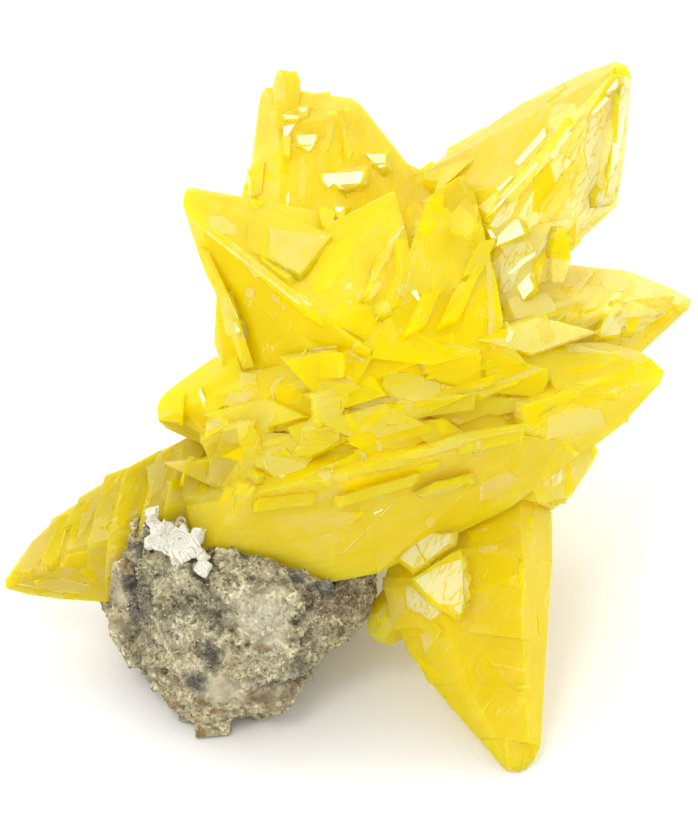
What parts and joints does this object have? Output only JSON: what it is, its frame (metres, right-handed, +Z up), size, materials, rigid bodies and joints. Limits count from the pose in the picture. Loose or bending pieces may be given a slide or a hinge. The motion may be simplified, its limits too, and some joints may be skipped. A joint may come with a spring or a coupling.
{
  "type": "sulfur crystal cluster on matrix rock",
  "caption": "Star-like cluster of yellow translucent sulfur crystals with stepped faces, grown on a grey matrix rock, resting on its rock base and crystal tips for display",
  "frame": {"origin": "centre of the bounding box's bottom face, on the surface the cluster rests on", "axes": "+Z up; +X to the right and -Y towards the viewer as the cluster shows its best side"},
  "size_m": [0.0984, 0.083, 0.0782],
  "materials": {
    "sulfur": "translucent lemon-yellow crystal, waxy to glassy, with flat faces and growth steps",
    "rock": "rough grey-beige broken rock with dark metallic specks and white sparkling grains",
    "calcite": "small clear glassy crystals"
  },
  "bodies": {
    "root": {"sulfur_crystals": "sulfur", "matrix_rock": "rock", "calcite_crust": "calcite"}
  },
  "joints": []
}
